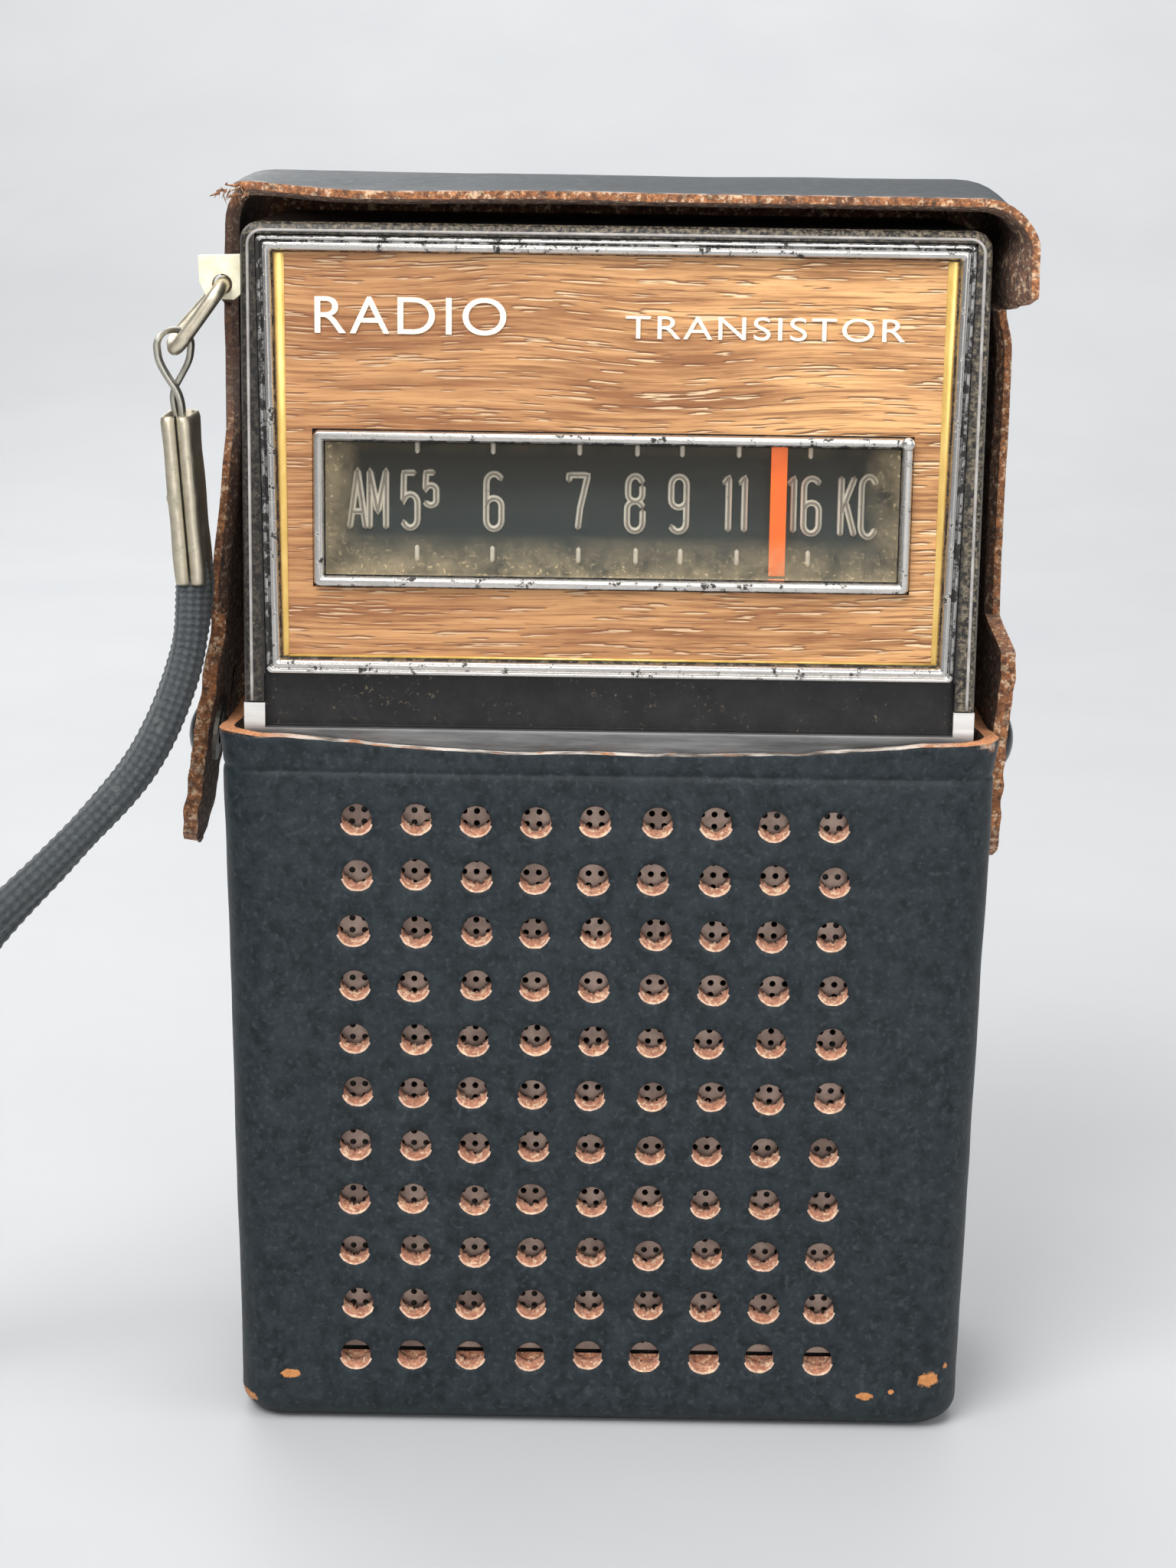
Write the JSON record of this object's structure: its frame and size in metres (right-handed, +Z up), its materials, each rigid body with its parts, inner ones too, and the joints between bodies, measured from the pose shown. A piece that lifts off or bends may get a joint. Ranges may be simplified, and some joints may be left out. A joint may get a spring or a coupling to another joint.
{
  "type": "transistor pocket radio in a leather carrying case",
  "caption": "Pocket radio standing in a snap-fastened leather case, with a tuning dial behind a window, thumbwheels on one side, a perforated grille and a braided wrist strap.",
  "frame": {"origin": "middle of the case's flat underside, where it stands", "axes": "+Z up, +Y from the dial towards the back, +X to the right of someone facing the dial"},
  "size_m": [0.1285, 0.0375, 0.1198],
  "materials": {
    "leather": "satin black leather with a fine grain, worn brown at its cut edges",
    "cabinet": "moulded black styrene, scuffed",
    "wheel": "black plastic with a milled edge",
    "moulding": "plain black moulding",
    "chrome": "plated, with dark flaking patches",
    "woodgrain": "printed wood grain under varnish, with yellow bevelled ends",
    "window": "clear plastic, dusty in its corners",
    "scale": "black plate with printed figures",
    "pointer": "orange-red plastic",
    "dial_string": "waxed thread",
    "brass": "turned",
    "grille": "satin sheet with fine round holes",
    "steel": "plated steel",
    "cone": "pressed dark paper",
    "magnet": "dull grey",
    "ferrite": "sintered, dark grey",
    "coil": "enamelled wire",
    "tuner": "milky plastic housing",
    "board": "brown phenolic sheet",
    "sleeve": "blue sleeve",
    "battery": "painted jacket",
    "enamel": "black enamel, chipped",
    "nickel": "aged nickel plate",
    "ferrule": "dull plate with green corrosion",
    "braid": "braided black cord"
  },
  "bodies": {
    "radio": {"case_pocket": "leather", "hood_anchor": "leather", "front_cabinet": "cabinet", "rear_cabinet": "cabinet", "earphone_jack": "moulding", "battery_snap": "moulding", "chrome_frame": "chrome", "dial_bezel": "chrome", "woodgrain_panel": "woodgrain", "dial_window": "window", "dial_scale": "scale", "dial_cord": "dial_string", "speaker_grille": "grille", "speaker_basket": "steel", "volume_control": "steel", "board_screw_left": "steel", "board_screw_right": "steel", "driver_transformer": "steel", "output_transformer": "steel", "oscillator_can": "steel", "if_can_1": "steel", "if_can_2": "steel", "transistor_1": "steel", "transistor_2": "steel", "transistor_3": "steel", "transistor_4": "steel", "speaker_cone": "cone", "speaker_magnet": "magnet", "ferrite_rod": "ferrite", "antenna_coil": "coil", "tuning_capacitor": "tuner", "circuit_board": "board", "electrolytic_1": "sleeve", "electrolytic_2": "sleeve", "battery": "battery", "snap_stud_left": "nickel", "snap_stud_right": "nickel", "hood_rivet_left": "nickel", "hood_rivet_right": "nickel", "strap_lug": "nickel"},
    "pointer": {"dial_pointer": "pointer"},
    "tuning": {"tuning_wheel": "wheel", "tuning_shaft": "brass", "tuning_screw": "steel"},
    "upper_pulley": {"upper_pulley": "brass"},
    "lower_pulley": {"lower_pulley": "brass"},
    "volume": {"volume_wheel": "wheel"},
    "hood": {"case_hood": "leather"},
    "left_tab": {"hood_tab_left": "leather", "snap_cap_left": "enamel", "snap_socket_left": "nickel"},
    "right_tab": {"hood_tab_right": "leather", "snap_cap_right": "enamel", "snap_socket_right": "nickel"},
    "link": {"strap_link": "nickel"},
    "strap": {"strap_eye": "nickel", "strap_ferrule": "ferrule", "strap_braid": "braid"}
  },
  "joints": [
    {"name": "tuning_turn", "type": "hinge", "parent": "radio", "child": "tuning", "pos_m": [0.0198, -0.0056, 0.0989], "axis": [0, 1, 0], "range_deg": [-167, 19]},
    {"name": "pointer_travel", "type": "slide", "parent": "radio", "child": "pointer", "axis": [1, 0, 0], "range_m": [-0.0351, 0.0041]},
    {"name": "upper_pulley_turn", "type": "hinge", "parent": "radio", "child": "upper_pulley", "pos_m": [-0.0265, -0.008, 0.1084], "axis": [0, 1, 0], "range_deg": [-802, 92]},
    {"name": "lower_pulley_turn", "type": "hinge", "parent": "radio", "child": "lower_pulley", "pos_m": [-0.0265, -0.008, 0.0894], "axis": [0, 1, 0], "range_deg": [-802, 92]},
    {"name": "volume_turn", "type": "hinge", "parent": "radio", "child": "volume", "pos_m": [0.027, -0.003, 0.0845], "axis": [0, 1, 0], "range_deg": [0, 290]},
    {"name": "hood_swing", "type": "hinge", "parent": "radio", "child": "hood", "pos_m": [0, 0.0182, 0.0498], "axis": [-1, 0, 0], "range_deg": [0, 120]},
    {"name": "left_tab_bend", "type": "hinge", "parent": "hood", "child": "left_tab", "pos_m": [-0.0377, 0.001, 0.0772], "axis": [0, 1, 0], "range_deg": [-7, 55]},
    {"name": "right_tab_bend", "type": "hinge", "parent": "hood", "child": "right_tab", "pos_m": [0.0377, 0.001, 0.0772], "axis": [0, -1, 0], "range_deg": [0, 60]},
    {"name": "link_swing", "type": "hinge", "parent": "radio", "child": "link", "pos_m": [-0.0364, -0.01, 0.11], "axis": [0, 1, 0], "range_deg": [0, 50]},
    {"name": "strap_swing", "type": "hinge", "parent": "link", "child": "strap", "pos_m": [-0.04106, -0.01, 0.10425], "axis": [0, 1, 0], "range_deg": [0, 60]}
  ],
  "couplings": [
    {"joint": "pointer_travel", "follows": "tuning_turn", "m_per_rad": 0.012},
    {"joint": "upper_pulley_turn", "follows": "tuning_turn", "ratio": 4.8},
    {"joint": "lower_pulley_turn", "follows": "tuning_turn", "ratio": 4.8}
  ]
}
